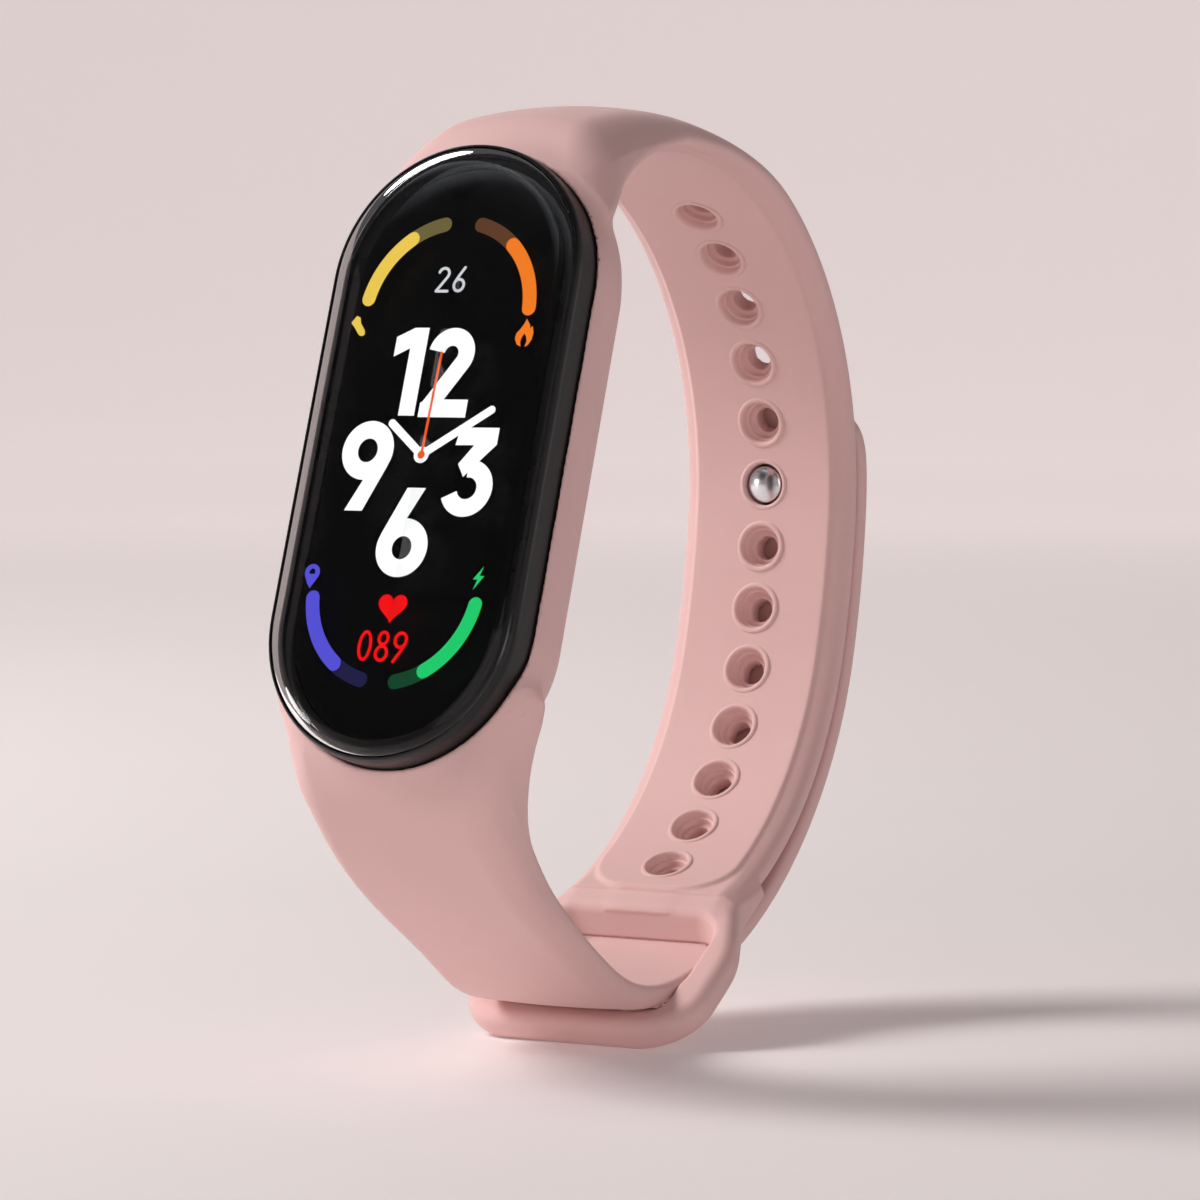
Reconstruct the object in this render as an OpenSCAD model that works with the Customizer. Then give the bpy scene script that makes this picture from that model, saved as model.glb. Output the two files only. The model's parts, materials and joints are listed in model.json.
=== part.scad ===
// Fitness tracker band: a pill-shaped tracker capsule held in the ring of a soft strap.
// The strap is fastened: its lead end passes through the buckle loop, lies over the
// hole strap and is held by a stud in the sixth hole from the top.
// Row frame: +Z up, X along the wrist, the screen faces -Y and leans back.
// The origin is the centre of the wrist opening.

/* [Capsule] */
// Width of the tracker case
case_w = 20.7; // [19:0.1:22]
// Distance between the centres of the case's two round ends
end_gap = 25.9; // [24:0.1:28]
// Gap between the case rim and the edge of the glass
glass_inset = 0.35; // [0.2:0.05:0.5]
// Thickness of the cover glass
glass_t = 0.9; // [0.7:0.05:1.1]
// Depth of the straight side of the case below the glass face
case_side = 5; // [4.5:0.1:5.2]
// Depth of the whole case behind the glass face
case_depth = 8.6; // [8.4:0.1:8.8]
// Depth of the sensor window's outer face behind the glass face
sensor_depth = 12; // [11.8:0.1:12.4]
// Wall thickness of the case
case_wall = 1; // [0.8:0.05:1.1]

/* [Placement] */
// How far the screen leans back from upright, in degrees
lean = 19.29; // [15:0.01:24]
// Distance of the glass face's centre in front of the origin
glass_front = 21; // [20.5:0.1:22]
// Height of the glass face's centre above the origin
glass_height = 6.5; // [6:0.1:7]

/* [Strap] */
// Width of the strap
strap_w = 15; // [14.6:0.1:15.2]
// Thickness of the hole strap
strap_t = 2.5; // [2.3:0.05:2.6]
// Thickness of the lead strap
lead_t = 1.9; // [1.7:0.05:1.95]
// Gap between the hole strap and the lead strap that lies over it
layer_gap = 0.15; // [0.1:0.01:0.2]
// Number of holes
hole_count = 13; // [10:1:13]
// Distance from hole to hole along the strap
hole_pitch = 5; // [4.9:0.05:5.1]
// Diameter of a hole's wide inner part
hole_wide = 3.3; // [3:0.1:3.5]
// Diameter of a hole's narrow outer part
hole_narrow = 1.9; // [1.8:0.05:2.2]
// Number of the hole that the stud sits in, counted from the top
stud_hole = 6; // [6:1:6]

/* [Strap profile] */
// Inner radius of the upper back
upper_r = 25.66; // [25.4:0.01:25.9]
// Inner radius of the nearly straight middle of the back
middle_r = 58; // [56:0.1:60]
// Inner radius of the lower back
lower_r = 26.7; // [26.4:0.1:27]
// Outer radius of the thick bridge from the strap to the capsule's top
bridge_r = 38; // [37:0.1:39]
// Inner radius of the lead strap where it lies under the hole strap
under_r = 34; // [33.8:0.1:34.2]
// Inner radius of the lead strap's bend at the bottom
bend_r = 14; // [13.6:0.1:14.4]
// Inner radius of the lead strap's rise to the capsule
rise_r = 60; // [55:1:65]

/* [Buckle loop] */
// Outer width of the loop
loop_w = 20.9; // [20:0.1:21.5]
// Thickness of the loop
loop_t = 2.6; // [2.4:0.1:2.8]
// Length of the loop from the strap's end
loop_len = 16.9; // [16.5:0.1:17.5]
// Width of the slot
slot_w = 15.6; // [15.4:0.1:15.8]
// Start of the slot, measured from the strap's end
slot_start = 3; // [2.8:0.1:3.2]
// End of the slot, measured from the strap's end
slot_end = 12.9; // [12.6:0.1:13.2]
// Direction in which the loop runs, in degrees
loop_angle = -148; // [-150:0.5:-146]

/* [Vibration motor] */
// Diameter of the coin motor's can
motor_d = 7.8; // [7:0.1:8]
// Height of the coin motor's can
motor_h = 2.8; // [2.6:0.1:3]

/* [Hidden] */
$fn = 64;
thin = 0.05;      // parting gap between neighbouring pieces
fit = 0.15;       // gap between pieces that slide or turn past each other
far = 40;         // reach of a cutting shape
lap = 0.02;       // degrees by which neighbouring arcs overlap, so that they join

case_r = case_w / 2;
glass_r = case_r - glass_inset;
end_c = end_gap / 2;

// strap profile in the (Y, Z) plane: tangent arcs, each with its centre and its end angles
upper_c = [5.64, 2.35];
ring_a = 119;     // front end of the bridge, over the ring
bridge_a = 104;   // joint between the cradle and the hole strap
crown_a = 65;     // where the thick bridge meets the even strap
first_a = 55.2;   // first hole
tip_a = 18;       // behind the rounded tip of the tail
mid_a = -5.5;
low_a = -16.1;
hinge_a = -20.8;  // fold line of the tail tip
under_a = -35;
hole_end_a = -69;
bend_a = -84;
rise_a = -121;
lead_end_a = -139;
rim_a = -146;

function rim(c, r, a) = c + r * [cos(a), sin(a)];
function tangent_centre(c, r, a, new_r) = rim(c, r - new_r, a);
function arc_deg(len, r) = len / r * 180 / PI;

middle_c = tangent_centre(upper_c, upper_r, mid_a, middle_r);
lower_c = tangent_centre(middle_c, middle_r, low_a, lower_r);
bridge_c = tangent_centre(upper_c, upper_r + strap_t, crown_a, bridge_r);

lead_off = strap_t + layer_gap;
under_c = tangent_centre(lower_c, lower_r + lead_off, under_a, under_r);
bend_c = tangent_centre(under_c, under_r, bend_a, bend_r);
rise_c = tangent_centre(bend_c, bend_r, rise_a, rise_r);

// the strap's end after the last hole
strap_end = rim(lower_c, lower_r, hole_end_a);

// arc lengths along the inner face from the first hole
upper_len = (first_a - mid_a) / 180 * PI * upper_r;
middle_len = (mid_a - low_a) / 180 * PI * middle_r;

// place of the hole at arc length s: [centre, radius, angle]
function hole_place(s) =
    s < upper_len ? [upper_c, upper_r, first_a - arc_deg(s, upper_r)]
    : s < upper_len + middle_len ? [middle_c, middle_r, mid_a - arc_deg(s - upper_len, middle_r)]
    : [lower_c, lower_r, low_a - arc_deg(s - upper_len - middle_len, lower_r)];

stud_place = hole_place((stud_hole - 1) * hole_pitch);

// capsule stack: depths behind the glass face
touch_z = 0.95;
touch_t = 0.3;
panel_z = 1.3;
panel_t = 1.1;
foam_z = 2.45;
foam_t = 0.3;
frame_z = 2.8;
frame_t = 0.8;
board_z = 3.7;
board_t = 0.8;
parts_z = 4.55;
board_r = 9;
board_end = 20.7;
battery_size = [13.4, 21, 3.9];
battery_y = -7.6;
shield_size = [11, 7.6, 1.3];
shield_y = 7.4;
motor_y = 16.2;
cover_z = 8.75;
cover_r = 8.35;
floor_z = 10.7;
sensor_z = 9.1;
sensor_r = 4.6;

// ---------- helpers ----------

// puts a capsule piece, drawn flat with its screen at z = 0 facing up, in its place
module worn() {
    translate([0, -glass_front, glass_height]) rotate([90 - lean, 0, 0]) children();
}

// outline of a pill whose round ends have radius r
module pill_shape(r, c = end_c) {
    square([2 * r, 2 * c], center = true);
    for (side = [-1, 1]) translate([0, side * c]) circle(r);
}

// flat pill between two depths behind the glass face
module pill_plate(r, top, bottom, c = end_c) {
    translate([0, 0, -bottom]) linear_extrude(bottom - top) pill_shape(r, c);
}

// sweeps a profile, drawn as (distance from the middle, height), around the pill
module pill_sweep(c = end_c) {
    translate([0, c, 0]) rotate_extrude(angle = 180) children();
    translate([0, -c, 0]) rotate_extrude(angle = 180, start = 180) children();
    rotate([90, 0, 0]) linear_extrude(2 * c, center = true) {
        children();
        mirror([1, 0]) children();
    }
}

// box centred in x and y between two depths behind the glass face
module flat_box(size, top, pos = [0, 0]) {
    translate([pos.x - size.x / 2, pos.y - size.y / 2, -top - size.z]) cube(size);
}

// sweeps a section, drawn as (radius, x), about the X axis through c
module band_arc(c, a_from, a_to) {
    translate([0, c.x, c.y]) rotate([90, 0, 90])
        rotate_extrude(angle = a_from - a_to, start = a_to) children();
}

// round bar along X through c
module cross_bar(c, r, w) {
    translate([0, c.x, c.y]) rotate([0, 90, 0]) cylinder(r = r, h = w, center = true);
}

// puts a shape drawn along +Z on the radial line of a place
module radial(place) {
    p = rim(place[0], place[1], place[2]);
    translate([0, p.x, p.y]) rotate([place[2] - 90, 0, 0]) children();
}

// frame with y along the strap and z outwards, at a point in the (Y, Z) plane
module along(p, angle) {
    translate([0, p.x, p.y]) rotate([angle, 0, 0]) children();
}

// section of the hole strap above its inner face: flat plateau, sloping flanks, crowned back
function hole_section(r) = let (w = strap_w / 2, t = strap_t) [
    [r, -w + 1.4], [r, w - 1.4], [r + 0.6, w], [r + t - 0.5, w], [r + t, w - 2],
    [r + t, -w + 2], [r + t - 0.5, -w], [r + 0.6, -w]];

// section of the lead strap
function lead_section(r) = let (w = strap_w / 2, t = lead_t) [
    [r, -w + 1], [r, w - 1], [r + t / 2, w], [r + t, w - 1.5], [r + t, -w + 1.5],
    [r + t / 2, -w]];

// ---------- strap ----------

// thick bridge over the capsule's top end
module top_bridge(a_from, a_to) {
    half = strap_w / 2 + 0.6;
    intersection() {
        difference() {
            band_arc(bridge_c, 128, crown_a - lap)
                polygon([[20, -half], [20, half], [bridge_r - 0.9, half], [bridge_r, half - 3],
                    [bridge_r, 3 - half], [bridge_r - 0.9, -half]]);
            cross_bar(upper_c, upper_r, far);
        }
        band_arc(upper_c, a_from, a_to) translate([15, -far / 2]) square([25, far]);
    }
}

// ring around the capsule: bevelled front edge, tapering behind
module ring() {
    pill_sweep() polygon([[6, -2.8], [case_r + 0.15, -2.8], [case_r + 0.95, -4.2],
        [case_r + 0.95, -5.2], [case_r - 0.9, -case_depth], [6, -case_depth]]);
}

// room for the capsule, open at the front and at the back
module bay() {
    seat = cover_r + 0.3;
    pill_sweep() polygon([[0, far], [case_r + fit, far], [case_r + fit, -case_side - 0.1],
        [seat, -case_depth], [seat, -far], [0, -far]]);
}

module strap_cradle() {
    color("pink") difference() {
        union() {
            worn() ring();
            top_bridge(ring_a, bridge_a);
            band_arc(rise_c, lead_end_a, rim_a) polygon(lead_section(rise_r));
        }
        worn() bay();
    }
}

// stepped hole, wide inside and narrow outside
module strap_hole(index) {
    radial(hole_place(index * hole_pitch)) {
        translate([0, 0, -1]) cylinder(d = hole_wide, h = 2.4);
        translate([0, 0, -1]) cylinder(d = hole_narrow, h = strap_t + 2);
    }
}

// the stud swings out on an arc, so its own hole is longer than round
module stud_slot() {
    room = 1.2;
    radial(stud_place) translate([0, 0, -1]) linear_extrude(strap_t + 2) {
        circle(d = hole_wide);
        translate([0, room]) circle(d = hole_wide);
        translate([-hole_wide / 2, 0]) square([hole_wide, room]);
    }
}

module hole_strap() {
    color("pink") difference() {
        union() {
            top_bridge(bridge_a, crown_a);
            band_arc(upper_c, crown_a + lap, mid_a - lap) polygon(hole_section(upper_r));
            band_arc(middle_c, mid_a, low_a - lap) polygon(hole_section(middle_r));
            band_arc(lower_c, low_a, hole_end_a) polygon(hole_section(lower_r));
        }
        for (index = [0 : hole_count - 1]) if (index != stud_hole - 1) strap_hole(index);
        stud_slot();
    }
}

// outline of the loop: shoulders widen from the strap, the far corners are round
module loop_outline() {
    half = loop_w / 2;
    corner = 4.5;
    polygon([[-strap_w / 2, -2], [strap_w / 2, -2], [strap_w / 2, 0], [half, 5],
        [half, loop_len - corner], [-half, loop_len - corner], [-half, 5], [-strap_w / 2, 0]]);
    translate([corner - half, loop_len - corner - 1]) square([loop_w - 2 * corner, corner + 1]);
    for (side = [-1, 1])
        translate([side * (half - corner), loop_len - corner]) circle(corner);
}

module slot_outline() {
    corner = 3;
    translate([-slot_w / 2, slot_start]) square([slot_w, slot_end - slot_start - corner]);
    translate([corner - slot_w / 2, slot_start])
        square([slot_w - 2 * corner, slot_end - slot_start]);
    for (side = [-1, 1])
        translate([side * (slot_w / 2 - corner), slot_end - corner]) circle(corner);
}

// room for the lead strap where it passes through the slot
module lead_room() {
    half = slot_w / 2 + 0.1;
    intersection() {
        cross_bar(bend_c, bend_r + lead_t + fit, 2 * half);
        translate([-half, -far, -far]) cube([2 * half, far + 5, far]);
    }
    band_arc(under_c, under_a, bend_a - 10)
        translate([under_r - fit, -half]) square([lead_t + 2 * fit, 2 * half]);
}

module buckle_loop() {
    bar_drop = 0.6;
    color("pink") difference() {
        along(strap_end, loop_angle) {
            difference() {
                linear_extrude(loop_t) loop_outline();
                translate([0, 0, -1]) linear_extrude(loop_t + 2) slot_outline();
            }
            translate([-slot_w / 2 - 0.4, 0, 0]) rotate([90, 0, 90])
                linear_extrude(slot_w + 0.8)
                    polygon([[-1.5, 0], [slot_start - 0.3, 0], [slot_start + 0.9, loop_t + bar_drop],
                        [0.8, loop_t + bar_drop], [-1.5, loop_t - 0.1]]);
        }
        along(strap_end, hole_end_a - 90) translate([-far / 2, -far, -far / 2]) cube(far);
        lead_room();
    }
}

module lead_strap() {
    color("pink") {
        band_arc(lower_c, hinge_a - 0.1, under_a - lap) polygon(lead_section(lower_r + lead_off));
        band_arc(under_c, under_a, bend_a - lap) polygon(lead_section(under_r));
        band_arc(bend_c, bend_a, rise_a - lap) polygon(lead_section(bend_r));
        band_arc(rise_c, rise_a, lead_end_a) polygon(lead_section(rise_r));
    }
}

// outline of the tail seen from behind: straight sides and a round-cornered end
module tail_outline() {
    top = 9.8;
    corner = 4;
    half = strap_w / 2;
    translate([-half, -far]) square([strap_w, far + top - corner]);
    translate([corner - half, -far]) square([strap_w - 2 * corner, far + top]);
    for (side = [-1, 1])
        translate([side * (half - corner), top - corner]) circle(corner);
}

// distances outwards from the hole strap's inner face
tail_inner = strap_t + layer_gap;
tail_outer = tail_inner + lead_t;
stud_neck_r = 0.85;
stud_head_r = 1.5;
cap_r = 2.7;
cap_t = 0.5;

module tail_tip() {
    color("pink") difference() {
        intersection() {
            union() {
                band_arc(upper_c, tip_a, mid_a - lap) polygon(lead_section(upper_r + lead_off));
                band_arc(middle_c, mid_a, low_a - lap) polygon(lead_section(middle_r + lead_off));
                band_arc(lower_c, low_a, hinge_a) polygon(lead_section(lower_r + lead_off));
            }
            translate([0, far + 10, 0]) rotate([90, 0, 0]) linear_extrude(far) tail_outline();
        }
        radial(stud_place) {
            translate([0, 0, tail_inner - 1]) cylinder(r = stud_neck_r + thin, h = lead_t + 2);
            translate([0, 0, tail_outer - cap_t - thin]) cylinder(r = cap_r + thin, h = 2);
        }
    }
}

module stud_pin() {
    color("silver") radial(stud_place) {
        translate([0, 0, 0.1]) cylinder(r = stud_head_r - 0.4, h = 0.2);
        translate([0, 0, 0.3]) cylinder(r = stud_head_r, h = 0.8);
        translate([0, 0, 1]) cylinder(r = stud_neck_r, h = tail_outer - cap_t - thin - 1);
    }
}

module stud_cap() {
    color("silver") radial(stud_place)
        translate([0, 0, tail_outer - cap_t]) cylinder(r = cap_r, h = cap_t);
}

// ---------- capsule: front ----------

module glass_lens() {
    color("gray", 0.4) worn() pill_sweep()
        polygon([[0, -glass_t], [glass_r, -glass_t], [glass_r, -0.55], [glass_r - 0.25, -0.2],
            [glass_r - 0.8, 0], [0, 0]]);
}

module touch_panel() {
    color("dimgray") worn() pill_plate(glass_r - 1.3, touch_z, touch_z + touch_t);
}

module display_panel() {
    color("black") worn() pill_plate(case_r - case_wall - 0.15, panel_z, panel_z + panel_t);
}

module display_foam() {
    color("darkslategray") worn() intersection() {
        pill_plate(board_r, foam_z, foam_z + foam_t);
        translate([-far, -far - board_end + 1, -far]) cube([2 * far, far + 2 * board_end - 1, far]);
    }
}

module front_case() {
    inner = case_r - case_wall;
    lip = glass_r - 1.2;
    color("black") worn() pill_sweep()
        polygon([[glass_r + thin, -0.45], [case_r - 0.1, -0.5], [case_r, -0.75],
            [case_r, -case_side], [cover_r + 0.1, -case_depth], [cover_r - 0.6, -case_depth],
            [inner, -case_side + 0.2], [inner, -panel_z + thin], [lip, -panel_z + thin],
            [lip, -glass_t - thin], [glass_r + thin, -glass_t - thin]]);
}

module inner_frame() {
    color("silver") worn() difference() {
        pill_plate(board_r + 0.2, frame_z, frame_z + frame_t);
        translate([-far / 2, board_end, -far]) cube([far, far, far]);
        flat_box([12, 8, 4], 2, [0, -8]);
        flat_box([12, 8, 4], 2, [0, 6]);
    }
}

// ---------- capsule: electronics ----------

module main_board() {
    color("darkgreen") worn() difference() {
        pill_plate(board_r, board_z, board_z + board_t);
        translate([-far / 2, board_end, -far]) cube([far, far, far]);
    }
}

module shield_can() {
    wall = 0.2;
    color("silver") worn() difference() {
        flat_box(shield_size, parts_z, [0, shield_y]);
        flat_box(shield_size - [2 * wall, 2 * wall, wall], parts_z - thin, [0, shield_y]);
    }
}

module chip(size, pos) {
    color("black") worn() flat_box(size, parts_z, pos);
}

module processor_chip() { chip([6, 5, 0.8], [-1.2, shield_y]); }

module memory_chip() { chip([3, 2, 0.7], [-2, -20]); }

module radio_chip() { chip([2, 2, 0.6], [3.6, shield_y]); }

module battery() {
    color("lightgray") worn() flat_box(battery_size, parts_z + 0.15, [0, battery_y]);
}

module battery_pad() {
    color("white") worn() flat_box([11, 18, 0.1], parts_z, [0, battery_y]);
}

module motor_can() {
    wall = 0.25;
    color("silver") worn() translate([0, motor_y, -parts_z - motor_h]) difference() {
        cylinder(d = motor_d, h = motor_h);
        translate([0, 0, wall]) cylinder(d = motor_d - 2 * wall, h = motor_h - 2 * wall);
    }
}

module motor_shaft() {
    color("silver") worn() translate([0, motor_y, -parts_z - motor_h + 0.3])
        cylinder(r = 0.4, h = motor_h - 0.6);
}

module rotor_disc() {
    color("orange") worn() translate([0, motor_y, -parts_z - 0.9]) difference() {
        cylinder(r = motor_d / 2 - 0.55, h = 0.35);
        translate([0, 0, -1]) cylinder(r = 0.45, h = 3);
    }
}

module motor_weight() {
    height = 1.3;
    color("goldenrod") worn() translate([0, motor_y, -parts_z - 0.95 - height])
        rotate_extrude(angle = 180)
            translate([1, 0]) square([motor_d / 2 - 1.6, height]);
}

module antenna_flex() {
    color("orange") worn() translate([0, end_c, -6.4]) rotate_extrude(angle = 180)
        translate([8, 0]) square([0.15, 1.7]);
}

module display_flex() {
    color("orange") worn() flat_box([5, 0.15, 2.15], panel_z + panel_t + thin, [0, board_end + 0.2]);
}

module sensor_flex() {
    color("orange") worn() {
        flat_box([0.15, 6, 4.45], parts_z, [7.1, 0]);
        flat_box([2.45, 6, 0.15], parts_z + 4.3, [5.9, 0]);
    }
}

// ---------- capsule: sensor and back ----------

module sensor_board() {
    color("darkgreen") worn() pill_plate(sensor_r, sensor_z, sensor_z + 0.5, 3);
}

module sensor_leds() {
    for (side = [-1, 1])
        color("lime") worn() flat_box([1, 1, 0.4], sensor_z + 0.55, [side * 0.8, 0]);
}

module photodiodes() {
    for (side = [-1, 1])
        color("navy") worn() flat_box([2, 2.4, 0.4], sensor_z + 0.55, [0, side * 3.6]);
}

module light_baffle() {
    color("black") worn() difference() {
        pill_plate(sensor_r - 0.8, sensor_z + 0.55, sensor_depth - 1.05, 3);
        flat_box([3.2, 1.6, 4], sensor_z, [0, 0]);
        for (side = [-1, 1]) flat_box([2.6, 3, 4], sensor_z, [0, side * 3.6]);
    }
}

module sensor_window() {
    color("gray", 0.5) worn() pill_sweep(3)
        polygon([[0, -sensor_depth + 1], [sensor_r - 0.35, -sensor_depth + 1],
            [sensor_r - 0.35, -sensor_depth + 0.35], [sensor_r - 1.1, -sensor_depth],
            [0, -sensor_depth]]);
}

// the two round charging contacts lie near the lower end
contact_pos = [for (side = [-1, 1]) [side * 2.6, -13]];
contact_r = 0.9;

module rear_cover() {
    color("black") worn() difference() {
        union() {
            pill_sweep() polygon([[0, -cover_z], [cover_r, -cover_z], [cover_r - 0.6, -cover_z - 1],
                [cover_r - 2.2, -floor_z], [0, -floor_z]]);
            pill_plate(sensor_r + 0.5, floor_z - 0.1, sensor_depth - 0.5, 3);
        }
        pill_sweep() polygon([[0, 0], [cover_r - 0.9, 0], [cover_r - 0.9, -cover_z - 0.2],
            [cover_r - 2.6, -floor_z + 0.7], [0, -floor_z + 0.7]]);
        pill_plate(sensor_r - 0.3, 5, sensor_depth + 1, 3);
        for (pos = contact_pos)
            translate([pos.x, pos.y, -sensor_depth - 1]) cylinder(r = contact_r + thin, h = 4);
    }
}

module seal_gasket() {
    color("white") worn() pill_sweep()
        translate([cover_r - 0.55, -cover_z + 0.03]) square([0.5, 0.09]);
}

module charge_contacts() {
    for (pos = contact_pos)
        color("gold") worn() translate([pos.x, pos.y, -floor_z - 0.05])
            cylinder(r = contact_r, h = 0.9);
}

module contact_springs() {
    for (pos = contact_pos)
        color("gold") worn() translate([pos.x, pos.y, -floor_z + 0.9])
            cylinder(r = 0.4, h = 0.9);
}

strap_cradle();
hole_strap();
buckle_loop();
lead_strap();
tail_tip();
stud_pin();
stud_cap();
glass_lens();
touch_panel();
display_panel();
display_foam();
front_case();
inner_frame();
main_board();
shield_can();
processor_chip();
memory_chip();
radio_chip();
battery();
battery_pad();
motor_can();
motor_shaft();
rotor_disc();
motor_weight();
antenna_flex();
display_flex();
sensor_flex();
sensor_board();
sensor_leds();
photodiodes();
light_baffle();
sensor_window();
rear_cover();
seal_gasket();
charge_contacts();
contact_springs();
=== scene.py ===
"""Fitness tracker band: pill-shaped capsule with a lit dial in a fastened silicone strap.

All shapes are made here from arcs, profiles and distance formulas, in the CAD's row frame.
Shape code works in millimetres; objects are made in metres.
"""
import json
import math

import bpy
import numpy as np
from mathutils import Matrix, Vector


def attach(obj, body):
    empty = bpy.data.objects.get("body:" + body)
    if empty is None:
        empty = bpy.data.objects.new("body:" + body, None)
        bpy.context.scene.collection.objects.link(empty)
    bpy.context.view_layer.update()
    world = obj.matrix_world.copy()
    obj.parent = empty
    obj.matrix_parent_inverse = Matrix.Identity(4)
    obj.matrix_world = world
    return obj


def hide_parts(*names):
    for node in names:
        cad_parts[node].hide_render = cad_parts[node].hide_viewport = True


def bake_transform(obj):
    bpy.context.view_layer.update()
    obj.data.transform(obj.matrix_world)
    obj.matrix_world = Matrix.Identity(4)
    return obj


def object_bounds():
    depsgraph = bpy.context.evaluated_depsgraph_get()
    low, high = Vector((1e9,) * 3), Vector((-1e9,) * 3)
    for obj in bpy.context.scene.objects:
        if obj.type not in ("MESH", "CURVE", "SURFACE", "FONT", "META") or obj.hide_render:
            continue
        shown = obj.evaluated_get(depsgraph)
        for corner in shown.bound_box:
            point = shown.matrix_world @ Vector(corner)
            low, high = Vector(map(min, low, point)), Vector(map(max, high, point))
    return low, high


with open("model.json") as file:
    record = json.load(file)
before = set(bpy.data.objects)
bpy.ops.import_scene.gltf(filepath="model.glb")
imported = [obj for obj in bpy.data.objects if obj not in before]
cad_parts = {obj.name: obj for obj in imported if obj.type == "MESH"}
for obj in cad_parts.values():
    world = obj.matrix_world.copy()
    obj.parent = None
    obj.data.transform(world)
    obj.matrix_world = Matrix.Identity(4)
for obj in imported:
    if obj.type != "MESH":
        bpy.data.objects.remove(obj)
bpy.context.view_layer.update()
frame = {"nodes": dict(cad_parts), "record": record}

MM = 0.001

# ---------- sizes in millimetres, as in the CAD ----------

LEAN = math.radians(19.29)          # how far the screen leans back
GLASS_POINT = (-21.0, 6.5)          # (y, z) of the middle of the glass face
END_C = 12.95                       # half the distance between the pill's round ends
CASE_R = 10.35                      # half width of the black case
RING_R = 11.3                       # half width of the strap's ring
RIM_DEPTH = 2.75                    # the strap's front rim, behind the glass face

STRAP_HALF = 7.5
STRAP_T = 2.5
LEAD_T = 1.9
LAYER_GAP = 0.15
LEAD_OFF = STRAP_T + LAYER_GAP
HOLE_COUNT = 13
HOLE_PITCH = 5.0
STUD_HOLE = 5                       # index of the hole that holds the stud
FIRST_HOLE = 55.2                   # angle of the first hole on the upper arc
BORE_R = 1.62                       # wide inner part of a hole
NECK_R = 0.95                       # narrow outer part of a hole
SOCKET_R = 1.85                     # room in the strap for a hole's moulded ring
STUD_BORE_R = 1.72

UPPER_R = 25.66
MIDDLE_R = 58.0
LOWER_R = 26.7
BRIDGE_R = 38.0
UNDER_R = 34.0
BEND_R = 14.0
RISE_R = 60.0

RING_A = 130.0
CROWN_A = 65.0
MIDDLE_A = -5.5
LOWER_A = -16.1
END_A = -69.0
UNDER_A = -35.0
SEAM_A = -68.0
BEND_A = -84.0
RISE_A = -121.0
RIM_A = -152.0
TAIL_A = 26.0
LOOP_A = -148.0


def on_circle(centre, radius, degrees):
    """The point of a circle in the (y, z) plane at an angle."""
    a = math.radians(degrees)
    return (centre[0] + radius * math.cos(a), centre[1] + radius * math.sin(a))


def next_centre(centre, radius, degrees, new_radius):
    """Centre of the circle that runs on smoothly from this one at an angle."""
    return on_circle(centre, radius - new_radius, degrees)


UPPER_C = (5.64, 2.35)
MIDDLE_C = next_centre(UPPER_C, UPPER_R, MIDDLE_A, MIDDLE_R)
LOWER_C = next_centre(MIDDLE_C, MIDDLE_R, LOWER_A, LOWER_R)
BRIDGE_C = next_centre(UPPER_C, UPPER_R + STRAP_T, CROWN_A, BRIDGE_R)
UNDER_C = next_centre(LOWER_C, LOWER_R + LEAD_OFF, UNDER_A, UNDER_R)
BEND_C = next_centre(UNDER_C, UNDER_R, BEND_A, BEND_R)
RISE_C = next_centre(BEND_C, BEND_R, RISE_A, RISE_R)
STRAP_END = on_circle(LOWER_C, LOWER_R, END_A)

# chains of arcs: (centre, radius, first angle, last angle)
BACK = [
    (UPPER_C, UPPER_R, RING_A, MIDDLE_A),
    (MIDDLE_C, MIDDLE_R, MIDDLE_A, LOWER_A),
    (LOWER_C, LOWER_R, LOWER_A, END_A - 2),
]
LEAD = [
    (LOWER_C, LOWER_R + LEAD_OFF, LOWER_A, UNDER_A),
    (UNDER_C, UNDER_R, UNDER_A, BEND_A),
    (BEND_C, BEND_R, BEND_A, RISE_A),
    (RISE_C, RISE_R, RISE_A, RIM_A),
]
TAIL = [
    (UPPER_C, UPPER_R + LEAD_OFF, TAIL_A, MIDDLE_A),
    (MIDDLE_C, MIDDLE_R + LEAD_OFF, MIDDLE_A, LOWER_A),
    (LOWER_C, LOWER_R + LEAD_OFF, LOWER_A, UNDER_A),
    (UNDER_C, UNDER_R, UNDER_A, SEAM_A - 3),
]


def arc_length(chain, count):
    """Length of the first arcs of a chain."""
    return sum(r * math.radians(a - b) for _, r, a, b in chain[:count])


FIRST_S = math.radians(RING_A - FIRST_HOLE) * UPPER_R
CROWN_S = math.radians(RING_A - CROWN_A) * UPPER_R
LAST_S = FIRST_S + (HOLE_COUNT - 1) * HOLE_PITCH


def hole_place(index):
    """(centre of the arc, its radius, angle in degrees) of a hole on the inner face."""
    left = index * HOLE_PITCH
    start = FIRST_HOLE
    for centre, radius, first, last in BACK:
        room = math.radians(min(start, first) - last) * radius
        if left <= room:
            return centre, radius, min(start, first) - math.degrees(left / radius)
        left -= room
        start = last
    raise ValueError("the strap has no such hole")


# ---------- distance formulas on arrays, negative inside ----------

def step_up(value, low, high):
    """0 at low, 1 at high, smooth between them; high may be the smaller one."""
    t = np.clip((value - low) / (high - low), 0, 1)
    return t * t * (3 - 2 * t)


def join(a, b, soft):
    """Union of two solids with a fillet."""
    t = np.clip(0.5 + 0.5 * (b - a) / soft, 0, 1)
    return b * (1 - t) + a * t - soft * t * (1 - t)


def carve(a, b, soft):
    """Solid a without solid b, with a softened edge."""
    return -join(-a, b, soft)


def meet(a, b, radius):
    """What lies in both solids, with a rounded edge."""
    both = np.minimum(np.maximum(a + radius, b + radius), 0)
    return both + np.hypot(np.maximum(a + radius, 0), np.maximum(b + radius, 0)) - radius


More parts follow.
